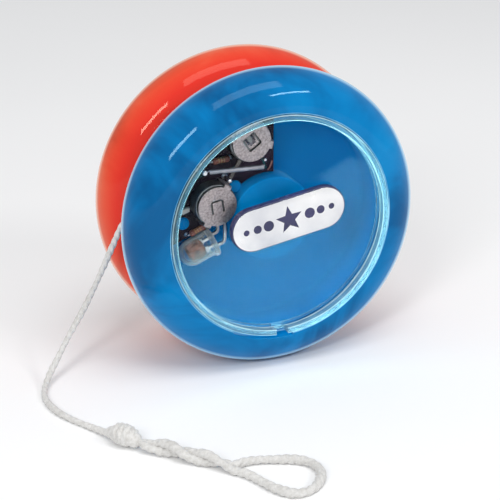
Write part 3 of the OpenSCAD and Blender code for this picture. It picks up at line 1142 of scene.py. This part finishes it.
def resistor_parts(spot, body_look, band_look, wire_look):
    """A resistor lying on the board: bulged ends, colour bands and bent leads."""
    at, turn = spot[:2], spot[2]
    half, r = RESISTOR_L / 2, RESISTOR_R
    height = BOARD_TOP_S + r + 0.05
    shape = [(0, -half), (0.7 * r, -half), (r, -half + 0.25), (r, -half + 0.7), (0.85 * r, -half + 0.95)]
    shape += [(x, -s) for x, s in reversed(shape)]
    along_board = Matrix.Rotation(turn, 4, "Z") @ Matrix.Rotation(math.pi / 2, 4, "Y")
    lie = Matrix.Translation((*at, height)) @ along_board
    parts = []
    body = revolve(shape, 24)
    body.transform(lie)
    parts.append((body, body_look))
    for s in (-0.5, 0, 0.5):
        ring = [(0.5 * r, s - 0.1), (0.87 * r, s - 0.1), (0.87 * r, s + 0.1), (0.5 * r, s + 0.1)]
        band = revolve(ring, 24)
        band.transform(lie)
        parts.append((band, band_look))
    for hand in (-1, 1):
        line = []
        for out, drop in ((half - 0.1, 0), (half + 0.3, 0), (half + 0.45, 0.12), (half + 0.5, 0.62)):
            line.append((*polar(at, hand * out, turn), height - drop))
        parts.append((tube(spline(line, 0.1), lambda i: circle(0.17, 8)), wire_look))
    return parts


def make_resistors(side, body_look, band_look, wire_look):
    parts = []
    for spot in RESISTOR_PLACES:
        parts += resistor_parts(spot, body_look, band_look, wire_look)
    place(joined(parts), "resistors", side, "spool", "resistor_body")


def lamp_lie():
    """Lays a piece made along the s axis down along the lamp, from its base to its dome."""
    return (
        Matrix.Translation((*LAMP_BASE, LAMP_S))
        @ Matrix.Rotation(LAMP_TURN, 4, "Z")
        @ Matrix.Rotation(-math.pi / 2, 4, "Y")
    )


def make_lamp(side, clear_look, cup_look, frame_look):
    """A clear round lamp with its cup, its posts and its flange."""
    dome_at = LAMP_L - LAMP_R
    profile = [
        (0, 0),
        (FLANGE_R - 0.1, 0),
        (FLANGE_R, 0.1),
        (FLANGE_R, 0.9),
        (FLANGE_R - 0.1, 1),
        (LAMP_R + 0.05, 1.02),
        (LAMP_R, 1.1),
        *arc((0, dome_at), LAMP_R, 0, 88, 16),
        (0, LAMP_L),
    ]
    cup = [
        (0, 2.2),
        (1.2, 2.2),
        (1.7, 2.5),
        (2.05, 4.6),
        (1.9, 5.3),
        (1.75, 5.3),
        (1.3, 3.4),
        (0, 3.3),
    ]
    parts = [(revolve(profile, 64), clear_look), (revolve(cup, 32), cup_look)]
    for hand, top in ((-1, 2.0), (1, 2.6)):
        post = block((0.5, 0.6, top), (0, hand * 0.9, top / 2 + 0.02), 0.08)
        parts.append((post, frame_look))
        head = block((0.6, 1.3, 0.8), (0, hand * 0.95, top - 0.3), 0.1)
        parts.append((head, frame_look))
    for mesh, _ in parts:
        mesh.transform(lamp_lie())
    place(joined(parts), "lamp", side, "spool", "lamp_epoxy")


def make_leads(side, material):
    """The lamp's two leads, bent over on to the board."""
    pitch, r = 1.27, 0.25
    forward = Vector((math.cos(LAMP_TURN), math.sin(LAMP_TURN), 0))
    across = Vector((-math.sin(LAMP_TURN), math.cos(LAMP_TURN), 0))
    base = Vector((*LAMP_BASE, BOARD_TOP_S + r))
    ends = ((1, 1.2, (-10.1, 0.2)), (-1, 1.6, (-8.6, 0.9)))
    parts = []
    for hand, out, end in ends:
        start = base + hand * pitch * across
        bent = start + out * forward
        line = [start, bent, bent + 0.4 * forward + 0.4 * across, Vector((*end, BOARD_TOP_S + r))]
        square = [(-0.24, -0.24), (-0.24, 0.24), (0.24, 0.24), (0.24, -0.24)]
        parts.append((tube(spline(line, 0.12), lambda i: square), material))
        parts.append((solder(*end, 0.6, 0.5), material))
    place(joined(parts), "lamp_leads", side, "spool", "spring_steel")


# ---- studio


def area_light(name, at, aim, size, power, colour=(1, 1, 1), roll=0.0):
    """A soft rectangular light at a place, facing another, with its width turned by roll."""
    data = bpy.data.lights.new(name, "AREA")
    data.shape = "RECTANGLE"
    data.size, data.size_y = size
    data.energy = power
    data.color = colour
    light = add_object(name, data)
    facing = Vector(aim) - Vector(at)
    light.rotation_mode = "QUATERNION"
    light.rotation_quaternion = facing.to_track_quat("-Z", "Y") @ Quaternion((0, 0, 1), roll)
    light.location = at
    return light


def make_floor():
    """A floor under the rims, far wider than the view."""
    half = 4.0
    z = FLOOR_Z * MM
    corners = [(-half, -half, z), (half, -half, z), (half, half, z), (-half, half, z)]
    mesh = new_mesh(corners, [(0, 1, 2, 3)])
    mesh.materials.append(pale_floor())
    floor = add_object("floor", mesh)


def make_window_card(caps):
    """A small light below the front window, whose reflection lies on the window's lower right part."""
    card = area_light("window_card", (0.037, -0.0655, -0.028), (0, 0, 0), (0.1, 0.045), 0.2, (0.42, 0.95, 1))
    card.rotation_mode = "XYZ"
    card.rotation_euler = (math.pi, 0, math.radians(-37.5))
    card.visible_camera = False
    windows = bpy.data.collections.new("windows")
    scene.collection.children.link(windows)
    for cap in caps:
        windows.objects.link(cap)
    card.light_linking.receiver_collection = windows


def make_studio(caps):
    """The floor, an even sky and the lights."""
    make_floor()
    world = bpy.data.worlds.new("studio")
    world.use_nodes = True
    sky = world.node_tree.nodes["Background"]
    sky.inputs["Color"].default_value = (0.97, 0.98, 1, 1)
    sky.inputs["Strength"].default_value = 0.54
    scene.world = world
    middle = (0, 0, 0)
    area_light("top_softbox", (0.02, -0.2, 0.56), middle, (0.42, 0.24), 1.15)
    area_light("left_strip", (-0.40, -0.46, 0.38), middle, (0.26, 0.1), 1.5, roll=math.radians(45))
    area_light("right_strip", (0.31, -0.50, 0.43), middle, (0.24, 0.045), 0.9)
    make_window_card(caps)
    scene.view_settings.view_transform = "Standard"


# ---- the whole

make_camera()
COTTON = cotton()
make_string(COTTON)

BLUE_SHEEN, ORANGE_SHEEN = (0.5, 0.85, 1), (1, 0.75, 0.6)
BLUE = tinted_plastic(
    "blue",
    deep=(0, 0.09, 0.26),
    mid=(0, 0.18, 0.46),
    light=(0.002, 0.24, 0.56),
    rim=(0.36, 0.66, 0.9),
    core=(0, 0.15, 0.42),
    sheen=BLUE_SHEEN,
)
# Painted light: a brighter copy of the blue plastic for the bay and the gap, against the shade that falls in
# them.
BLUE_BAY_BRIGHTENED = tinted_plastic(
    "blue_bay_painted_light",
    deep=(0, 0.17, 0.44),
    mid=(0, 0.245, 0.60),
    light=(0.002, 0.31, 0.68),
    rim=(0.05, 0.4, 0.7),
    core=(0, 0.2, 0.5),
    sheen=BLUE_SHEEN,
    gloss=0.02,
)
ORANGE = tinted_plastic(
    "orange",
    deep=(0.5, 0.07, 0.02),
    mid=(0.74, 0.11, 0.04),
    light=(0.8, 0.23, 0.1),
    rim=(1, 0.5, 0.36),
    core=(0.78, 0.035, 0.022),
    sheen=ORANGE_SHEEN,
)
# Painted light: a brighter copy of the orange plastic for the bay and the gap, and on the rear half also for
# the seat's highlight line.
ORANGE_BAY_BRIGHTENED = tinted_plastic(
    "orange_bay_painted_light",
    deep=(0.62, 0.06, 0.02),
    mid=(0.78, 0.1, 0.04),
    light=(0.83, 0.16, 0.07),
    rim=(0.9, 0.3, 0.2),
    core=(0.75, 0.06, 0.03),
    sheen=ORANGE_SHEEN,
    gloss=0.02,
)
CLEAR = clear_plastic()
RING = thick_clear("clear_ring", (0.80, 0.92, 1), (0.12, 0.23, 0.30), (0.22, 0.34, 0.39), 0.2, 0.7)
# Painted highlight: the pale colours of the ring's slanted edges.
RING_EDGE_HIGHLIGHT = thick_clear("clear_edge_painted_highlight", (0.9, 0.97, 1), (0.38, 0.52, 0.56), (0.54, 0.66, 0.69), 0.6, 1)
# Painted highlight: a pale blue line on the shell's faces round the cap's seat.
SEAT_HIGHLIGHT = thick_clear("seat_painted_highlight", (0.4, 0.6, 0.8), (0.08, 0.34, 0.60), (0.22, 0.52, 0.74), 1, 1)
PAD = plain_plastic("dark_plastic", (0.028, 0.03, 0.085), (0.045, 0.043, 0.125), 0.25)
FOIL = metal("silver_foil", (0.66, 0.67, 0.71), (0.95, 0.95, 0.95), 0.22, 70, 0.1)
BOARD = plain_plastic("board", (0.006, 0.004, 0.010), (0.030, 0.014, 0.028), 0.4, gloss=0.1)
TRACE = plain_plastic("trace", (0.008, 0.05, 0.06), (0.015, 0.09, 0.10), 0.4, gloss=0.2)
COPPER = metal("copper", (0.30, 0.13, 0.10), (0.48, 0.24, 0.20), 0.45)
CERAMIC = plain_plastic("chip_ceramic", (0.50, 0.45, 0.38), (0.72, 0.68, 0.60), 0.4, 400)
SOLDER = metal("solder", (0.45, 0.45, 0.46), (0.75, 0.74, 0.73), 0.3)
# Painted shade: the cells' steel is kept far darker than bare steel, for the shade under the clips.
CELL_STEEL_SHADED = metal("cell_steel", (0.13, 0.14, 0.14), (0.32, 0.33, 0.33), 0.4)
NICKEL = metal("clip_nickel", (0.32, 0.27, 0.265), (0.62, 0.54, 0.53), 0.5, 2600)
# Painted shade: a dark nickel for the clips' folded tongues, where shade falls.
SHADED_NICKEL = metal("nickel_painted_shade", (0.05, 0.05, 0.06), (0.20, 0.18, 0.20), 0.5, 2000)
STRIP = metal("strip_nickel", (0.10, 0.09, 0.08), (0.24, 0.21, 0.19), 0.45)
WIRE = metal("spring_steel", (0.55, 0.54, 0.56), (0.85, 0.85, 0.86), 0.25)
COIL = metal("coil_steel", (0.42, 0.40, 0.42), (0.66, 0.64, 0.66), 0.5)
TIN = metal("tinned_lead", (0.34, 0.34, 0.34), (0.58, 0.58, 0.57), 0.4)
AXLE = metal("axle_steel", (0.5, 0.5, 0.51), (0.7, 0.7, 0.71), 0.3)
RESISTOR = plain_plastic("resistor_body", (0.16, 0.045, 0.03), (0.28, 0.09, 0.06), 0.35)
BAND = plain_plastic("resistor_band", (0.35, 0.20, 0.08), (0.45, 0.28, 0.12), 0.3)
# Painted highlight: a whitish outline round the lamp where it is seen edge on, and clear in the middle.
EPOXY = thick_clear("lamp_epoxy", (0.92, 0.97, 0.97), (0.60, 0.66, 0.62), (0.86, 0.86, 0.80), 0.05, 0.95)
CUP = plain_plastic("lamp_cup", (0.10, 0.03, 0.02), (0.48, 0.21, 0.15), 0.25, 1100)
SLEEVE = plain_plastic("sleeve_plastic", (0.72, 0.70, 0.62), (0.80, 0.78, 0.70), 0.4)

caps = []
for side in SIDES:
    if side == "front":
        make_shell(side, BLUE, BLUE_BAY_BRIGHTENED, SEAT_HIGHLIGHT)
    else:
        make_shell(side, ORANGE, ORANGE_BAY_BRIGHTENED, ORANGE_BAY_BRIGHTENED)
    caps.append(make_cap(side, CLEAR, RING, RING_EDGE_HIGHLIGHT))
    make_badge(side, PAD, FOIL)
    make_board(side, BOARD, TRACE, COPPER, SOLDER, CERAMIC)
    make_cell(side, "cell_upper", CELL_UPPER_AT, CELL_STEEL_SHADED)
    make_cell(side, "cell_lower", CELL_LOWER_AT, CELL_STEEL_SHADED)
    make_clip(side, "clip_upper", CELL_UPPER_AT, -15, 35, True, NICKEL, SHADED_NICKEL)
    make_clip(side, "clip_lower", CELL_LOWER_AT, 60, 9, False, NICKEL, SHADED_NICKEL)
    make_spring(side, COIL)
    make_pins(side, WIRE)
    make_resistors(side, RESISTOR, BAND, WIRE)
    make_lamp(side, EPOXY, CUP, WIRE)
    make_leads(side, TIN)

for node, material in {
    "front_link_strip": STRIP,
    "rear_link_strip": STRIP,
    "axle": AXLE,
    "axle_sleeve": SLEEVE,
}.items():
    nodes[node].data.materials.clear()
    nodes[node].data.materials.append(material)

make_studio(caps)
